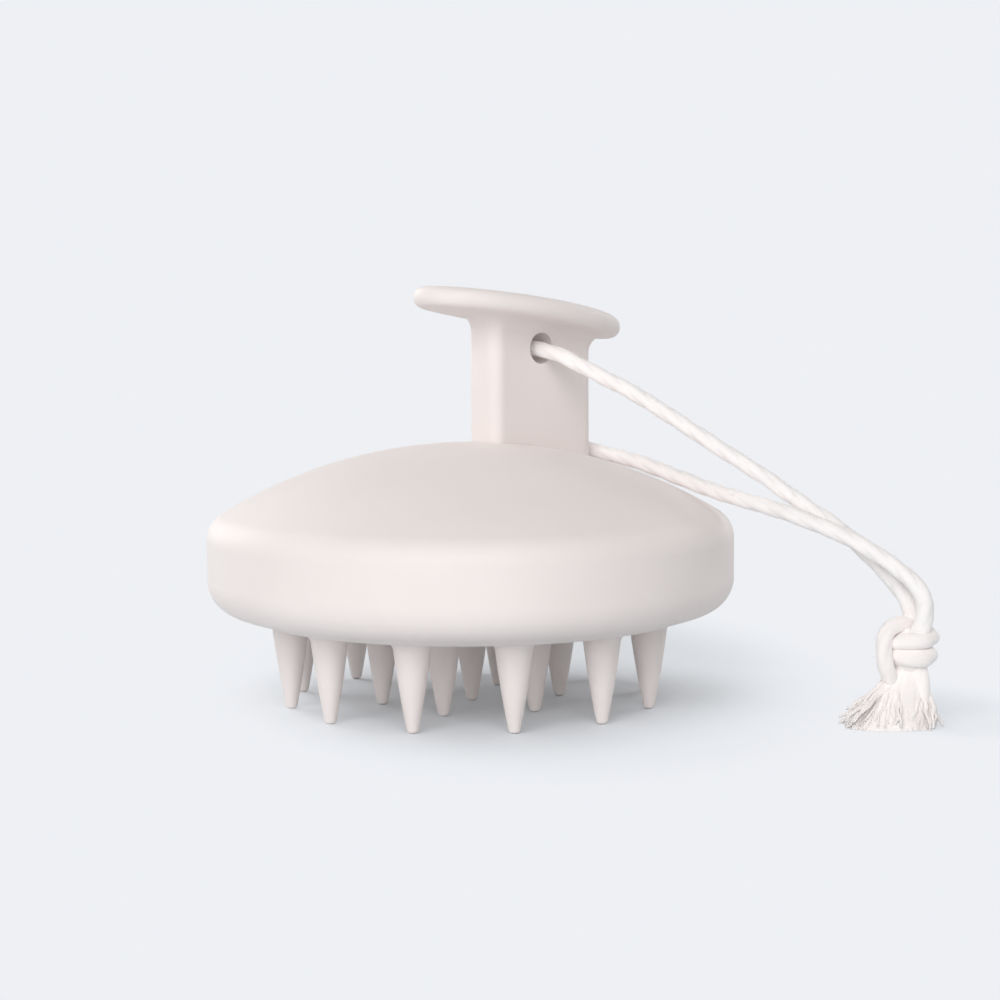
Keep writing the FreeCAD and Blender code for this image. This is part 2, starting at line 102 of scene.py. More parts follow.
# Knot, in its own directions from its middle: to the right, towards the camera's side, and up.
KNOT_MIDDLE = (30.1, -58.9, 10.0)
KNOT_TURNS = [
    # up the left side, over the top, behind the legs and back across the front as the upper band
    {"share": 1.02, "phase": 0.4, "points": [
        (-1.4, 0.2, -5.0), (-2.0, 1.0, -3.9), (-2.9, 2.0, -2.3), (-3.6, 2.5, -0.2), (-3.7, 2.4, 2.0),
        (-3.1, 1.7, 3.8), (-1.5, 0.6, 4.7), (0.4, -0.8, 4.4), (2.2, -1.9, 3.6), (3.4, -1.3, 2.9),
        (3.5, 0.6, 2.7), (2.4, 2.3, 2.6), (0.6, 2.7, 2.5), (-1.1, 2.2, 2.3), (-2.0, 0.8, 1.8),
        (-1.0, -0.6, 1.2),
    ]},
    # the lower band, once round the knot
    {"share": 1.14, "phase": 1.5, "points": [
        (-1.6, 0.4, 0.4), (-1.7, 1.6, 0.2), (-0.2, 2.6, 0.1), (2.0, 2.4, 0.0), (3.2, 0.7, 0.2),
        (2.7, -1.6, 0.4), (0.4, -2.5, 0.6), (-2.0, -1.9, 0.7), (-2.8, -0.4, 0.6), (-1.8, 0.6, 0.0),
    ]},
    # the front leg's end, down through the middle to the left tail
    {"share": 1.0, "phase": 0.0, "points": [
        (1.2, -1.3, 4.0), (0.9, -1.1, 2.2), (0.2, -0.5, 0.0), (-0.7, 0.2, -2.2), (-1.2, 0.6, -3.6),
        (-1.7, 0.9, -5.0),
    ]},
    # the back leg's end, down through the middle to the right tail
    {"share": 1.0, "phase": 0.9, "points": [
        (1.4, 1.9, 4.2), (1.2, 1.6, 2.4), (1.1, 0.9, 0.2), (1.6, 1.2, -1.8), (2.0, 1.6, -3.8),
        (2.1, 1.8, -5.6), (2.0, 1.7, -7.0),
    ]},
]

# Ovals that fill the knot and the tassel behind their cords and fibres, from the top down, each with its
# height and where it ends to the left, right, back and front.
KNOT_CORE = [
    (4.0, -0.6, 1.2, -1.0, 1.0), (3.2, -2.2, 2.6, -1.8, 1.8), (1.2, -2.7, 3.1, -2.1, 2.2),
    (-1.2, -2.5, 3.0, -2.1, 2.2), (-2.8, -2.0, 2.4, -1.5, 1.8), (-3.6, -1.4, 2.0, -0.8, 1.5),
]
TASSEL_CORE = [
    (-1.6, -2.2, 2.0, -1.2, 1.8), (-3.6, -3.7, 2.3, -1.3, 2.7), (-5.8, -5.9, 2.7, -1.4, 3.8),
    (-7.8, -7.7, 3.1, -1.5, 5.0), (-9.2, -8.7, 3.6, -1.6, 5.7), (-9.85, -8.9, 3.7, -1.6, 5.8),
]
KNOT_FOLDS = 0.02
TASSEL_FOLDS = 0.03
CORE_RINGS = 40
CORE_SIDES = 144
CORE_UV_LENGTH = 7.0
# Two sets of upright folds: their numbers round the core, the first set's phase, and the second set's height
# and slant.
FOLDS_ROUND = 17
FOLDS_PHASE = 1.3
FINE_FOLDS_ROUND = 29
FINE_FOLDS_HEIGHT = 0.6
FINE_FOLDS_SLANT = 4.0

# Stray hairs on the cord, in millimetres: each starts at a share of the cord's radius, reaches out from there
# and leans along the cord.
HAIRS_PER_MM = 3.4
HAIR_STEP = 0.2
HAIR_POINTS = 5
HAIR_SIDES = 3
HAIR_RADIUS = 0.024
HAIR_THINNING = 0.017
HAIR_UV_LENGTH = 2.0
HAIR_ROOT_SHARE = 0.88
HAIR_REACH = (0.25, 0.75)
HAIR_LEAN = 1.6
HAIR_LEAN_POWER = 1.5
HAIR_BOW = 1.9
HAIR_WANDER = 0.25
# Points without hairs: at each end of a line, and where a leg is still inside the hole.
BARE_END_POINTS = 4
BARE_HOLE_POINTS = 8

# Frayed tails, in the knot's directions: where each leaves the knot, how it fans out on the floor, and how
# many yarns and fibres it has.
TAILS = [
    {"root": (-1.5, 0.8, -3.2), "left": -9.6, "right": 0.4, "front": 6.2, "back": -1.6,
     "yarns": 96, "fibres": 170},
    {"root": (2.0, 1.5, -5.4), "left": -1.0, "right": 4.4, "front": 5.6, "back": -1.2,
     "yarns": 48, "fibres": 100},
]
# The two kinds of loose threads: the radius at the root, what it loses by the end and with which power of
# the way there, and how far the thread's line stays above the floor.
THREADS = {
    "yarns": {"radius": 0.3, "thinning": 0.16, "power": 1.4, "sides": 6, "floor_gap": 0.3},
    "fibres": {"radius": 0.07, "thinning": 0.04, "power": 1.0, "sides": 4, "floor_gap": 0.08},
}
THREAD_POINTS = 9
THREAD_UV_LENGTH = 7.0
THREAD_WIDTHS = (0.8, 1.2)
# A thread's root is spread round its tail's root, its foot is lifted off the floor, and its knee lies at
# shares of the way between them, pushed to the front. The whole thread sways and waves.
FAN_SHAPE = 1.3
FOOT_LIFT = (0.15, 1.5)
FOOT_LIFT_POWER = 1.5
ROOT_SPREAD = 0.34
ROOT_SPREAD_SHARES = (1.0, 0.9, 0.5)
ROOT_FAN = 1.5
KNEE_ACROSS = 0.56
KNEE_TOWARD = 0.6
KNEE_PUSH = 0.5
KNEE_HEIGHT = 0.6
KNEE_WANDER = 0.4
THREAD_SWAY = 0.45
THREAD_WAVE = 0.26
THREAD_WAVES = 1.9

# Bristles, in millimetres.
BRISTLE_RINGS = [
    {"name": "inner", "count": 6, "radius": 13.85, "first": 0.5},
    {"name": "outer", "count": 12, "radius": 27.7, "first": 0.0},
]
BRISTLE_LENGTH = 13.2
BRISTLE_SIDES = 32
ROOT_RADIUS = 2.85
ROOT_SUNK = 0.12
ROOT_FLARE = 0.55
FLARE_HEIGHT = 1.3
FLARE_MOST = 1.1
CONE_RINGS = 30
BULGE = 0.28
TIP_RADIUS = 0.78
TIP_HEIGHT = 0.4
TIP_RINGS = 9
TIP_FIRST_ANGLE = 0.12

# Tints of the finishes, and the cotton's sheen: that of the legs, and the softer one of the knot and tails.
SILICONE_DULL = (0.845, 0.772, 0.744)
SILICONE_PALE = (0.872, 0.802, 0.774)
CORD_COTTON = {"dull": (0.965, 0.92, 0.9), "pale": (0.995, 0.96, 0.945), "sheen": 0.45}
SOFT_COTTON = {"dull": (0.985, 0.92, 0.89), "pale": (1.0, 0.945, 0.92), "sheen": 0.9}
# How the cotton's fibres are stretched along the strand, and the shares of fibres and clouds in its tint.
FIBRE_STRETCH = (0.35, 9.0, 1.0)
FIBRE_SHARE = 0.6
CLOUD_SHARE = 0.4

# Stage, in metres. The lamps' places are to the right of the object, towards the camera and up.
BACKGROUND = (0.855, 0.871, 0.905, 1)
FLOOR_COLOUR = (0.84, 0.88, 0.915, 1)
WORLD_COLOUR = (1.0, 1.0, 1.0, 1)
WORLD_LEVEL = 0.3
FLOOR_HALF = 2.5
FLOOR_GLOW = 0.2
GLOW_EDGE = (0.02, 0.05)
# Where the floor shows its shadows: the middle to the right and in depth, the stretch of those two, and the
# distances between which the shadow's edge fades.
BODY_SHADOW = {"middle": (0.009, 0.025), "stretch": (0.85, 0.48), "edge": (0.025, 0.046)}
TASSEL_SHADOW = {"middle": (0.070, -0.010), "stretch": (0.9, 0.5), "edge": (0.005, 0.013)}
LAMP_SIZE = 0.6
LAMP_AIM = (0.0, 0.0, 0.03)
LAMPS = [
    {"name": "front_softbox", "place": (0.05, 0.85, 0.45), "watts": 2.68},
    {"name": "front_left_softbox", "place": (-0.40, 0.80, 0.40), "watts": 3.5},
    {"name": "back_left_softbox", "place": (-0.65, -0.60, 0.40), "watts": 4.1},
    {"name": "back_right_softbox", "place": (0.65, -0.60, 0.40), "watts": 2.05},
]


def metres(points):
    """Points in millimetres as an array in metres."""
    return np.asarray(points, float) * MM


def unit(vectors):
    """Vectors divided by their own lengths."""
    return vectors / np.linalg.norm(vectors, axis=-1, keepdims=True)


def add_object(name, data):
    """A new object in the scene that holds that data."""
    thing = bpy.data.objects.new(name, data)
    bpy.context.scene.collection.objects.link(thing)
    return thing


def place_object(thing, side, over, back, place):
    """Puts an object at a place, with its own axes along side, over and back."""
    matrix = np.eye(4)
    matrix[:3] = np.column_stack([side, over, back, place])
    thing.matrix_world = Matrix(matrix.tolist())


def camera_directions():
    """The photograph's right, its depth and up as unit vectors, before the camera's pitch and roll."""
    yaw = math.radians(CAMERA_YAW)
    right = np.array([math.cos(yaw), -math.sin(yaw), 0.0])
    depth = np.array([math.sin(yaw), math.cos(yaw), 0.0])
    return right, depth, np.array([0.0, 0.0, 1.0])


def place_camera():
    """The camera stands at minus its distance along the depth, a little aside, pitched down and rolled."""
    right, depth, up = camera_directions()
    pitch = math.radians(CAMERA_PITCH)
    roll = math.radians(CAMERA_ROLL)
    ahead = depth * math.cos(pitch) - up * math.sin(pitch)
    over = up * math.cos(pitch) + depth * math.sin(pitch)
    turned_right = right * math.cos(roll) - over * math.sin(roll)
    turned_over = over * math.cos(roll) + right * math.sin(roll)
    data = bpy.data.cameras.new("camera")
    data.sensor_width = SENSOR
    data.lens = LENS
    data.clip_start = CAMERA_NEAR
    data.clip_end = CAMERA_FAR
    camera = add_object("camera", data)
    place = metres(CAMERA_ASIDE * right - CAMERA_DISTANCE * depth + CAMERA_HEIGHT * up)
    place_object(camera, turned_right, turned_over, -ahead, place)
    bpy.context.scene.camera = camera


def spline_line(points):
    """Points along the NURBS spline whose control points are given in metres."""
    curve = bpy.data.curves.new("route", "CURVE")
    curve.dimensions = "3D"
    spline = curve.splines.new("NURBS")
    spline.points.add(len(points) - 1)
    spline.points.foreach_set("co", np.column_stack([points, np.ones(len(points))]).ravel())
    spline.order_u = ROUTE_ORDER
    spline.use_endpoint_u = True
    spline.resolution_u = ROUTE_RESOLUTION
    holder = add_object("route", curve)
    bpy.context.view_layer.update()
    evaluated = holder.evaluated_get(bpy.context.evaluated_depsgraph_get())
    mesh = bpy.data.meshes.new_from_object(evaluated)
    line = np.zeros(len(mesh.vertices) * 3)
    mesh.vertices.foreach_get("co", line)
    bpy.data.meshes.remove(mesh)
    bpy.data.objects.remove(holder)
    bpy.data.curves.remove(curve)
    return line.reshape(-1, 3)


def evenly(line, step):
    """The same line with its points a step apart, and how far along it each one is."""
    along = np.concatenate([[0.0], np.cumsum(np.linalg.norm(np.diff(line, axis=0), axis=1))])
    stations = np.linspace(0.0, along[-1], int(along[-1] / step) + 1)
    return np.column_stack([np.interp(stations, along, column) for column in line.T]), stations


def untwisted_frames(line):
    """Two directions square to the line and to each other at each point, which do not turn about it.

    A fixed direction is laid square to the line, and the turn from each such frame to the next is added up
    and taken out again. Works on any number of lines at once, with the points on the last axis but one.
    """
    ahead = unit(np.gradient(line, axis=-2))
    fixed = np.broadcast_to(np.array(FIXED_DIRECTION), ahead.shape)
    side = unit(fixed - (fixed * ahead).sum(-1, keepdims=True) * ahead)
    over = np.cross(ahead, side)
    last = side[..., :-1, :]
    next_ahead = ahead[..., 1:, :]
    carried = last - (last * next_ahead).sum(-1, keepdims=True) * next_ahead
    turn = np.arctan2((carried * over[..., 1:, :]).sum(-1), (carried * side[..., 1:, :]).sum(-1))
    unturned = np.zeros(turn.shape[:-1] + (1,))
    angle = np.concatenate([unturned, np.cumsum(turn, axis=-1)], axis=-1)[..., None]
    return np.cos(angle) * side + np.sin(angle) * over, np.cos(angle) * over - np.sin(angle) * side


def tube_rings(lines, radii, sides):
    """Rings round each line, from two directions that are square to it.

    Each ring is the line's point plus the radius there times the cosine of an angle along the first direction
    and its sine along the second.
    """
    side, over = untwisted_frames(lines)
    angle = np.linspace(0, FULL_TURN, sides, endpoint=False)
    radii = np.broadcast_to(np.asarray(radii, float), lines.shape[:-1] + (1,))[..., None]
    around = np.cos(angle)[:, None] * side[..., None, :] + np.sin(angle)[:, None] * over[..., None, :]
    return lines[..., None, :] + radii * around


def tube_corners(tubes, stations, sides):
    """The vertex numbers of each tube's faces: quads between its rings, and a fan that closes each end."""
    station, side = np.meshgrid(np.arange(stations - 1), np.arange(sides), indexing="ij")
    following = (side + 1) % sides
    quads = np.stack([
        station * sides + side, station * sides + following,
        (station + 1) * sides + following, (station + 1) * sides + side,
    ], axis=-1).reshape(-1, 4)
    first = np.arange(sides)
    second = (first + 1) % sides
    last_ring = (stations - 1) * sides
    start_middle = np.full(sides, stations * sides)
    start_fan = np.column_stack([start_middle, second, first])
    end_fan = np.column_stack([start_middle + 1, last_ring + first, last_ring + second])
    shift = (np.arange(tubes) * (stations * sides + 2))[:, None, None]
    quads = (quads + shift).reshape(-1)
    fans = (np.concatenate([start_fan, end_fan]) + shift).reshape(-1)
    return quads, fans


def tube_uv(lengthways, sides):
    """The UV places of the same corners: along each tube by lengthways, in millimetres, and once round it."""
    tubes, stations = lengthways.shape
    grid = (tubes, stations - 1, sides)
    here = np.broadcast_to(lengthways[:, :-1, None], grid)
    there = np.broadcast_to(lengthways[:, 1:, None], grid)
    around = np.broadcast_to(np.arange(sides) / sides, grid)
    beyond = np.broadcast_to((np.arange(sides) + 1) / sides, grid)
    along = np.stack([here, here, there, there], axis=-1)
    across = np.stack([around, beyond, beyond, around], axis=-1)
    quad_uv = np.stack([along, across], axis=-1).reshape(-1, 2)
    end_along = np.repeat(lengthways[:, [0, -1]], 3 * sides, axis=1).reshape(-1)
    fan_uv = np.column_stack([end_along, np.zeros(len(end_along))])
    return np.concatenate([quad_uv, fan_uv])


def tubes_mesh(name, rings, lengthways):
    """A mesh of closed tubes from rings on the axes tube, station and side, with UVs along and round each."""
    tubes, stations, sides, _ = rings.shape
    end_middles = rings[:, [0, -1]].mean(axis=2)
    places = np.concatenate([rings.reshape(tubes, -1, 3), end_middles], axis=1)
    quads, fans = tube_corners(tubes, stations, sides)
    corners = np.concatenate([quads, fans])
    totals = np.concatenate([np.full(len(quads) // 4, 4), np.full(len(fans) // 3, 3)])
    starts = np.concatenate([[0], np.cumsum(totals)[:-1]])

    mesh = bpy.data.meshes.new(name)
    mesh.vertices.add(places.size // 3)
    mesh.vertices.foreach_set("co", places.ravel())
    mesh.loops.add(len(corners))
    mesh.loops.foreach_set("vertex_index", corners.astype(np.int32))
    mesh.polygons.add(len(totals))
    mesh.polygons.foreach_set("loop_start", starts.astype(np.int32))
    mesh.polygons.foreach_set("loop_total", totals.astype(np.int32))
    mesh.update(calc_edges=True)
    mesh.polygons.foreach_set("use_smooth", np.ones(len(totals), bool))

    layer = mesh.uv_layers.new(name="along_and_round")
    uv = tube_uv(np.broadcast_to(lengthways, (tubes, stations)), sides)
    layer.data.foreach_set("uv", uv.astype(np.float32).ravel())
    return mesh


def add_piece(mesh, material):
    """An object at the origin with that mesh, and that material in its mesh's slot."""
    piece = add_object(mesh.name, mesh)
    piece.data.materials.append(material)
    return piece


def twisted_strands(line, stations, reach, phase):
    """The centre lines of a laid cord's strands: each circles its line at the reach, once in a lay length."""
    side, over = untwisted_frames(line)
    turn = FULL_TURN * stations / (LAY_LENGTH * MM) + phase
    angle = turn[None, :] + FULL_TURN * np.arange(STRANDS)[:, None] / STRANDS
    around = np.cos(angle)[..., None] * side[None] + np.sin(angle)[..., None] * over[None]
    return line[None] + reach[None, :, None] * around


def soft_radii(stations, radius, chance):
    """Radii along each strand: the radius times one plus a share of the mean of slow seeded sines."""
    waves = np.array(SOFT_WAVES)
    phase = chance.uniform(0, FULL_TURN, (STRANDS, len(waves), 1))
    turn = FULL_TURN * stations[None, None, :] / (waves[None, :, None] * MM)
    swell = np.sin(turn + phase).mean(axis=1)
    return radius * (1 + SOFT_SHARE * swell)[..., None]


def laid_cord(name, line, material, chance, share, phase, swell):
    """A laid cord along a line: soft tubes round its strands, at a share of the cord's own thickness.

    It loosens over its last stretch, where it grows by the swell times the square of the way through it.
    """
    even, stations = evenly(line, STRAND_STEP * MM)
    loosened = np.clip((stations - stations[-1]) / (SWELL_LENGTH * MM) + 1, 0, 1)
    growth = 1 + swell * loosened ** 2
    radius = share * MM * CORD_RADIUS
    strand_radius = share * MM * STRAND_RADIUS
    centres = twisted_strands(even, stations, (radius - strand_radius) * growth, phase)
    radii = soft_radii(stations, strand_radius, chance) * growth[None, :, None]
    rings = tube_rings(centres, radii, STRAND_SIDES)
    return add_piece(tubes_mesh(name, rings, stations / MM), material)


def loose_hairs(name, cord_lines, material, chance):
    """Short stray fibres on a cord: each leaves its surface and bows back along it, thin and pointed.

    From its start it goes out by its reach times the sine of the way along it, leans ahead by a power of that
    way, and wanders by its square.
    """
    radius = CORD_RADIUS * MM
    starts, outs, aheads = [], [], []
    for cord_line in cord_lines:
        even, stations = evenly(cord_line, HAIR_STEP * MM)
        side, over = untwisted_frames(even)
        ahead = unit(np.gradient(even, axis=0))
        count = int(stations[-1] / MM * HAIRS_PER_MM)
        at = chance.integers(BARE_END_POINTS, len(even) - BARE_END_POINTS, count)
        angle = chance.uniform(0, FULL_TURN, count)[:, None]
        out = np.cos(angle) * side[at] + np.sin(angle) * over[at]
        starts.append(even[at] + HAIR_ROOT_SHARE * radius * out)
        outs.append(out)
        aheads.append(ahead[at])
    start, out, ahead = (np.concatenate(rows)[:, None] for rows in (starts, outs, aheads))
    count = len(start)
    reach = chance.uniform(*HAIR_REACH, (count, 1, 1)) * MM
    lean = chance.uniform(-HAIR_LEAN, HAIR_LEAN, (count, 1, 1)) * MM
    wander = chance.normal(0, HAIR_WANDER, (count, 1, 3)) * MM
    share = np.linspace(0, 1, HAIR_POINTS)[None, :, None]
    lines = start + reach * np.sin(HAIR_BOW * share) * out + lean * share ** HAIR_LEAN_POWER * ahead
    lines = lines + wander * share ** 2
    rings = tube_rings(lines, (HAIR_RADIUS - HAIR_THINNING * share) * MM, HAIR_SIDES)
    return add_piece(tubes_mesh(name, rings, share[0, :, 0] * HAIR_UV_LENGTH), material)


def knot_place(points):
    """Places given in the knot's own directions, in millimetres, as points of the frame in metres."""
    right, depth, up = camera_directions()
    across, toward, above = np.split(np.asarray(points, float), 3, axis=-1)
    return metres(KNOT_MIDDLE) + MM * (across * right - toward * depth + above * up)


def frayed_tails(name, kind, material, chance):
    """The untwisted ends: yarns or fibres that leave the knot together, fan out, and turn along the floor.

    Each is a quadratic curve from the tail's root by a knee to its own foot on the floor, with a seeded sway
    that grows by the square of the way along it and a wave that grows with that way.
    """
    thread = THREADS[kind]
    floor = -KNOT_MIDDLE[2]
    share = np.linspace(0, 1, THREAD_POINTS)[None, :, None]
    curves, widths = [], []
    for tail in TAILS:
        count = tail[kind]
        fan = chance.beta(FAN_SHAPE, FAN_SHAPE, count)
        across = tail["left"] + (tail["right"] - tail["left"]) * fan
        toward = chance.uniform(tail["back"], tail["front"], count)
        lift = chance.uniform(*FOOT_LIFT, count) ** FOOT_LIFT_POWER
        spread = chance.normal(0, ROOT_SPREAD, (count, 3)) * np.array(ROOT_SPREAD_SHARES)
        root = np.array(tail["root"]) + spread
        root[:, 0] += ROOT_FAN * (fan - 0.5)
        foot = np.column_stack([across, toward, floor + lift])
        knee = np.column_stack([
            root[:, 0] + KNEE_ACROSS * (foot[:, 0] - root[:, 0]),
            root[:, 1] + KNEE_TOWARD * (foot[:, 1] - root[:, 1]) + KNEE_PUSH,
            floor + KNEE_HEIGHT * (root[:, 2] - floor) + chance.normal(0, KNEE_WANDER, count),
        ])
        path = (1 - share) ** 2 * root[:, None] + 2 * share * (1 - share) * knee[:, None]
        path = path + share ** 2 * foot[:, None]
        sway = chance.normal(0, THREAD_SWAY, (count, 1, 3)) * share ** 2
        turn = FULL_TURN * (THREAD_WAVES * share + chance.uniform(0, 1, (count, 1, 3)))
        path = path + sway + THREAD_WAVE * np.sin(turn) * share
        path[..., 2] = np.maximum(path[..., 2], floor + thread["floor_gap"])
        curves.append(path)
        widths.append(chance.uniform(*THREAD_WIDTHS, (count, 1, 1)))
    thinned = thread["radius"] - thread["thinning"] * share ** thread["power"]
    radii = np.concatenate(widths) * thinned * MM
    rings = tube_rings(knot_place(np.concatenate(curves)), radii, thread["sides"])
    return add_piece(tubes_mesh(name, rings, share[0, :, 0] * THREAD_UV_LENGTH), material)


def filled_core(name, ovals, folds, material):
    """A closed lump behind loose cords or fibres: ovals joined from the top down, with soft upright folds.

    Each oval is its middle plus half its width and depth times the cosine and sine of the angle round it. The
    folds add two sines of that angle, which grow from the top down.
    """
    share = np.linspace(0, 1, CORE_RINGS)
    at = np.linspace(0, 1, len(ovals))
    columns = (np.interp(share, at, column)[:, None] for column in np.transpose(ovals))
    up, left, right, back, front = columns
    angle = np.linspace(0, FULL_TURN, CORE_SIDES, endpoint=False)
    down = share[:, None]
    coarse = np.sin(FOLDS_ROUND * angle + FOLDS_PHASE)
    fine = FINE_FOLDS_HEIGHT * np.sin(FINE_FOLDS_ROUND * angle + FINE_FOLDS_SLANT * down)
    fold = 1 + folds * down * (coarse + fine)
    across = (left + right) / 2 + (right - left) / 2 * np.cos(angle) * fold
    toward = (back + front) / 2 + (front - back) / 2 * np.sin(angle) * fold
    rings = knot_place(np.stack([across, toward, np.broadcast_to(up, across.shape)], axis=-1))[None]
    return add_piece(tubes_mesh(name, rings, share * CORE_UV_LENGTH), material)


def bristle_mesh(name, across, along):
    """One bristle: a profile with a flared root and a blunt tip, turned about its own upright line.

    The radius grows from the tip to the root with the way up, plus the bulge times the way up times the way
    left. The tip is closed by a quarter ellipse, and near the root the flare adds the square of the way up
    through it.
    """
    tip_angle = np.linspace(TIP_FIRST_ANGLE, np.pi / 2, TIP_RINGS)
    up = np.concatenate([
        TIP_HEIGHT * (1 - np.cos(tip_angle)),
        np.linspace(TIP_HEIGHT, BRISTLE_LENGTH + ROOT_SUNK, CONE_RINGS)[1:],
    ])
    share = up / BRISTLE_LENGTH
    cone = TIP_RADIUS + (ROOT_RADIUS - TIP_RADIUS) * (share + BULGE * share * (1 - share))
    tip = np.sqrt(np.clip(1 - (1 - np.minimum(up, TIP_HEIGHT) / TIP_HEIGHT) ** 2, 0, 1))
    through = np.clip((up - BRISTLE_LENGTH + FLARE_HEIGHT) / FLARE_HEIGHT, 0, FLARE_MOST)
    radius = cone * np.where(up < TIP_HEIGHT, tip, 1.0) + ROOT_FLARE * through ** 2
    angle = np.linspace(0, FULL_TURN, BRISTLE_SIDES, endpoint=False)
    x = across + radius[:, None] * np.cos(angle)
    y = along + radius[:, None] * np.sin(angle)
    z = np.broadcast_to(up[:, None], x.shape)
    rings = metres(np.stack([x, y, z], axis=-1))[None]
    return tubes_mesh(name, rings, up)


def bristle_places():
    """The name of each bristle and its place across the pad, in millimetres."""
    places = [("bristle_centre", 0.0, 0.0)]
    for ring in BRISTLE_RINGS:
        for index in range(ring["count"]):
            angle = FULL_TURN / ring["count"] * (index + ring["first"])
            name = f"bristle_{ring['name']}_{index + 1:02d}"
            places.append((name, ring["radius"] * math.cos(angle), ring["radius"] * math.sin(angle)))
    return places


def fill_inputs(tree, node, inputs):
    """Joins each named input of a node to another node's output, or sets it to a value."""
    for name, value in inputs.items():
        if isinstance(value, bpy.types.NodeSocket):
            tree.links.new(value, node.inputs[name])
        else:
            node.inputs[name].default_value = value


def add_node(tree, kind, inputs):
    """A new shader node of that kind with its inputs joined or set."""
    node = tree.nodes.new("ShaderNode" + kind)
    fill_inputs(tree, node, inputs)
    return node


def add_math(tree, operation, *values, kind="Math", output="Value"):
    """One output of an operation on numbers, or on vectors where the kind is VectorMath."""
    node = add_node(tree, kind, {})
    node.operation = operation
    fill_inputs(tree, node, dict(enumerate(values)))
    return node.outputs[output]


def add_tint(tree, value, dull, pale, low, high):
    """A colour that passes from dull to pale as the value goes from low to high."""
    ramp = add_node(tree, "ValToRGB", {"Fac": value})
    for element, place, colour in zip(ramp.color_ramp.elements, (low, high), (dull, pale)):
        element.position = place
        element.color = (*colour, 1)
    return ramp.outputs["Color"]


def smooth_rise(tree, value, low, high, top=1.0):
    """0 where the value is below low and top where it is above high, with a smooth passage between them."""
    rise = add_node(tree, "MapRange", {"Value": value, "From Min": low, "From Max": high, "To Max": top})
    rise.interpolation_type = "SMOOTHSTEP"
    return rise.outputs["Result"]


def show_instead(tree, share, first, second, output):
    """Shows the second shader in place of the first by that share."""
    mix = add_node(tree, "MixShader", {"Fac": share, 1: first, 2: second})
    fill_inputs(tree, tree.nodes[output], {"Surface": mix.outputs["Shader"]})


def new_material(name):
    """A new material with its node tree and its Principled shader."""
    material = bpy.data.materials.new(name)
    material.use_nodes = True
    return material, material.node_tree, material.node_tree.nodes["Principled BSDF"]


def silicone_material():
    """Matte warm off-white silicone: faint cloudy tint, a fine moulded grain, and a soft sheen."""
    material, tree, shader = new_material("matte_silicone")
    places = add_node(tree, "TexCoord", {}).outputs["Object"]
    cloud = add_node(tree, "TexNoise", {"Vector": places, "Scale": 55.0, "Detail": 3.0}).outputs["Fac"]
    grain = add_node(tree, "TexNoise", {"Vector": places, "Scale": 2600.0, "Detail": 2.0}).outputs["Fac"]
    rough = add_node(tree, "MapRange", {"Value": grain, "To Min": 0.5, "To Max": 0.62})
    bump = add_node(tree, "Bump", {"Height": grain, "Strength": 0.12, "Distance": 0.00004})
    fill_inputs(tree, shader, {
        "Base Color": add_tint(tree, cloud, SILICONE_DULL, SILICONE_PALE, low=0.3, high=0.7),
        "Roughness": rough.outputs["Result"],
        "Normal": bump.outputs["Normal"],
        "Specular IOR Level": 0.35,
        "Sheen Weight": 0.06,
        "Sheen Roughness": 0.5,
    })
    return material


def cotton_material(name, finish):
    """Spun cotton: fine fibres along the strand, a slow change of tint, and a soft rough bump."""
    material, tree, shader = new_material(name)
    coordinates = add_node(tree, "TexCoord", {})
    stretched = add_node(tree, "Mapping", {"Vector": coordinates.outputs["UV"], "Scale": FIBRE_STRETCH})
    fibre = add_node(tree, "TexNoise", {
        "Vector": stretched.outputs["Vector"], "Scale": 2.4, "Detail": 4.0, "Roughness": 0.6,
    }).outputs["Fac"]
    cloud = add_node(tree, "TexNoise", {
        "Vector": coordinates.outputs["Object"], "Scale": 420.0, "Detail": 2.0,
    }).outputs["Fac"]
    both = add_math(tree, "MULTIPLY_ADD", fibre, FIBRE_SHARE, add_math(tree, "MULTIPLY", cloud, CLOUD_SHARE))
    bump = add_node(tree, "Bump", {"Height": fibre, "Strength": 0.3, "Distance": 0.0001})
    fill_inputs(tree, shader, {
        "Base Color": add_tint(tree, both, finish["dull"], finish["pale"], low=0.34, high=0.6),
        "Roughness": 0.92,
        "Normal": bump.outputs["Normal"],
        "Specular IOR Level": 0.15,
        "Sheen Weight": finish["sheen"],
        "Sheen Roughness": 0.6,
    })
    return material


def background_rays(tree):
    """1 for the rays that see the background itself: camera, glossy and transmission rays."""
    rays = add_node(tree, "LightPath", {}).outputs
    seen = add_math(tree, "MAXIMUM", rays["Is Camera Ray"], rays["Is Glossy Ray"])
    return add_math(tree, "MAXIMUM", seen, rays["Is Transmission Ray"])


def outside_shadow(tree, places, shadow):
    """0 on the floor inside a shadow's place and 1 outside it, with a soft edge.

    The floor's places are turned to the photograph's right and depth, moved to the shadow's middle and
    stretched, and their distance from it passes smoothly from the edge's first value to its second.
    """
    right, depth = shadow["middle"]
    turned = add_node(tree, "Mapping", {
        "Vector": places, "Rotation": (0.0, 0.0, math.radians(CAMERA_YAW)), "Location": (-right, -depth, 0.0),
    }).outputs["Vector"]
    stretch = (*shadow["stretch"], 1.0)
    stretched = add_math(tree, "MULTIPLY", turned, stretch, kind="VectorMath", output="Vector")
    distance = add_math(tree, "LENGTH", stretched, kind="VectorMath")
    return smooth_rise(tree, distance, *shadow["edge"])


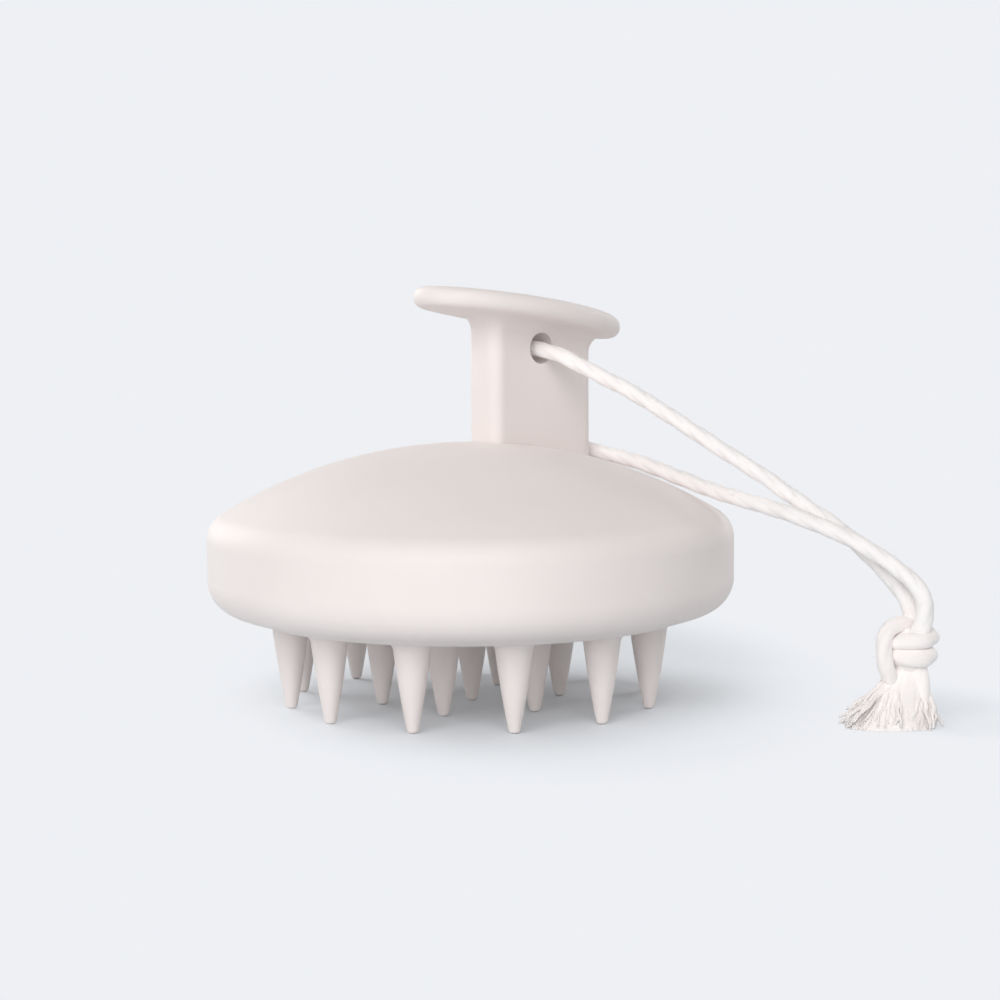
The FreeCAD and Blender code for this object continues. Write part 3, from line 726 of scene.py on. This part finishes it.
def floor_material():
    """Pale floor that takes the object's shadows, and elsewhere is the plain background colour.

    The lamps stand low, so the floor gets less of their light than the object does. Away from its middle, a
    glow of the background colour makes that up, for the rays that see the background.
    """
    material, tree, shader = new_material("pale_floor")
    places = add_node(tree, "TexCoord", {}).outputs["Object"]
    rays = background_rays(tree)
    distance = add_math(tree, "LENGTH", places, kind="VectorMath")
    glow = smooth_rise(tree, distance, *GLOW_EDGE, FLOOR_GLOW)
    fill_inputs(tree, shader, {
        "Base Color": FLOOR_COLOUR,
        "Roughness": 1.0,
        "Specular IOR Level": 0.0,
        "Emission Color": BACKGROUND,
        "Emission Strength": add_math(tree, "MULTIPLY", glow, rays),
    })
    outside = [outside_shadow(tree, places, shadow) for shadow in (BODY_SHADOW, TASSEL_SHADOW)]
    share = add_math(tree, "MULTIPLY", add_math(tree, "MULTIPLY", *outside), rays)
    plain = add_node(tree, "Emission", {"Color": BACKGROUND})
    show_instead(tree, share, shader.outputs["BSDF"], plain.outputs["Emission"], "Material Output")
    return material


def add_floor():
    """The pale square floor under the object."""
    mesh = bpy.data.meshes.new("floor")
    corners = [(x * FLOOR_HALF, y * FLOOR_HALF, 0) for x, y in ((-1, -1), (1, -1), (1, 1), (-1, 1))]
    mesh.from_pydata(corners, [], [(0, 1, 2, 3)])
    mesh.materials.append(floor_material())
    floor = add_object("floor", mesh)


def set_world():
    """Even light from all round, with the plain background colour for the rays that see it."""
    world = bpy.data.worlds.new("studio")
    bpy.context.scene.world = world
    world.use_nodes = True
    tree = world.node_tree
    light = tree.nodes["Background"]
    fill_inputs(tree, light, {"Color": WORLD_COLOUR, "Strength": WORLD_LEVEL})
    plain = add_node(tree, "Background", {"Color": BACKGROUND, "Strength": 1.0})
    show_instead(tree, background_rays(tree), light.outputs["Background"], plain.outputs["Background"],
                 "World Output")


def add_lamp(name, place, watts):
    """A square soft lamp at a place to the right, towards the camera and up, aimed at the object."""
    right, depth, up = camera_directions()
    data = bpy.data.lights.new(name, "AREA")
    data.shape = "SQUARE"
    data.size = LAMP_SIZE
    data.energy = watts
    spot = place[0] * right - place[1] * depth + place[2] * up
    back = unit(spot - np.array(LAMP_AIM))
    side = unit(np.cross(up, back))
    place_object(add_object(name, data), side, np.cross(back, side), back, spot)


def add_cord(cord_cotton, soft_cotton):
    """The two legs of the hanging cord, their knot, stray hairs and frayed tails."""
    chance = np.random.default_rng(SEED)
    front_line = spline_line(metres(FRONT_LEG))
    back_line = spline_line(metres(BACK_LEG))
    front = laid_cord("front_leg", front_line, cord_cotton, chance,
                      share=1.0, phase=0.0, swell=LEG_SWELL)
    back = laid_cord("back_leg", back_line, cord_cotton, chance,
                     share=1.0, phase=BACK_LEG_PHASE, swell=LEG_SWELL)
    knot_lines = [spline_line(knot_place(turn["points"])) for turn in KNOT_TURNS]
    turns = [
        laid_cord(f"knot_turn_{number}", line, soft_cotton, chance,
                  share=turn["share"], phase=turn["phase"], swell=0.0)
        for number, (turn, line) in enumerate(zip(KNOT_TURNS, knot_lines), start=1)
    ]
    hairy_lines = [front_line[BARE_HOLE_POINTS:], back_line[BARE_HOLE_POINTS:], *knot_lines[:2]]
    hairs = loose_hairs("stray_hairs", hairy_lines, cord_cotton, chance)
    knot_core = filled_core("knot_core", KNOT_CORE, KNOT_FOLDS, soft_cotton)
    tassel_core = filled_core("tassel_core", TASSEL_CORE, TASSEL_FOLDS, soft_cotton)
    yarns = frayed_tails("frayed_yarns", "yarns", soft_cotton, chance)
    fibres = frayed_tails("frayed_fibres", "fibres", soft_cotton, chance)
    for piece in (front, back, *turns, hairs, knot_core, tassel_core, yarns, fibres):
        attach(piece, "cord")
    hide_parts("cord_front_leg")
    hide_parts("cord_back_leg")
    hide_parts("cord_knot")
    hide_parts("cord_tassel")


def add_bristles(silicone):
    """The bristles, each a soft mesh that stands in for its own CAD body, which is hidden."""
    for name, across, along in bristle_places():
        piece = add_piece(bristle_mesh(f"{name}_soft", across, along), silicone)
        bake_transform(piece)
        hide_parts(name)


def dress_node(name, material):
    """Gives a CAD node that stays in view its finish."""
    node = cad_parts[name]
    node.data.materials.clear()
    node.data.materials.append(material)


def main():
    """Builds the scene."""
    bpy.context.scene.view_settings.view_transform = "Standard"
    place_camera()
    silicone = silicone_material()
    cord_cotton = cotton_material("cotton_cord", CORD_COTTON)
    soft_cotton = cotton_material("soft_cotton", SOFT_COTTON)
    add_cord(cord_cotton, soft_cotton)
    add_bristles(silicone)
    for name in ("dome_body", "handle", "bristle_pad"):
        dress_node(name, silicone)
    add_floor()
    set_world()
    for lamp in LAMPS:
        add_lamp(**lamp)


main()
